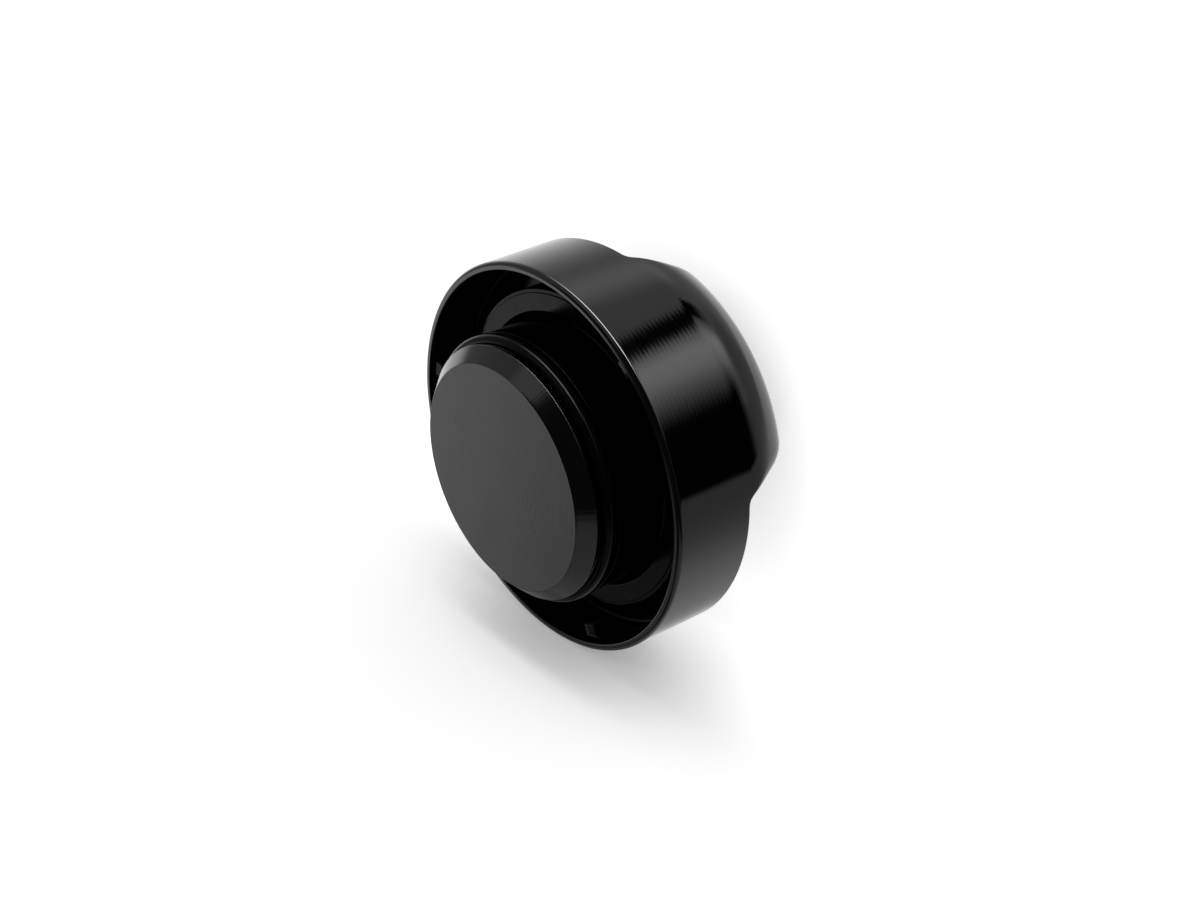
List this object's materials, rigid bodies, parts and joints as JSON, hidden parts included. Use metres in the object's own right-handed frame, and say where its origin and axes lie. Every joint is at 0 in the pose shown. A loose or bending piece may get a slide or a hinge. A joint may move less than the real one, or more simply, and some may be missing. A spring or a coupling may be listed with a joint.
{
  "type": "oil filler cap",
  "caption": "Black anodised bayonet oil filler cap: round skirt, domed grip bar across the back, stepped plug with a round ring in its groove, and a flat seal in the recess.",
  "frame": {"origin": "centre of the flat top of the grip, which the cap stands on, on the turning axis", "axes": "+Z along the turning axis out of the open mouth, Y along the grip bar, X across it"},
  "size_m": [0.065, 0.065, 0.0375],
  "materials": {
    "anodised_body": "gloss black anodised, fine turning and milling lines",
    "ring_rubber": "smooth black",
    "seal_rubber": "moulded black, slightly glossy"
  },
  "bodies": {
    "root": {"cap_body": "anodised_body", "o_ring": "ring_rubber", "seal_ring": "seal_rubber"}
  },
  "joints": []
}
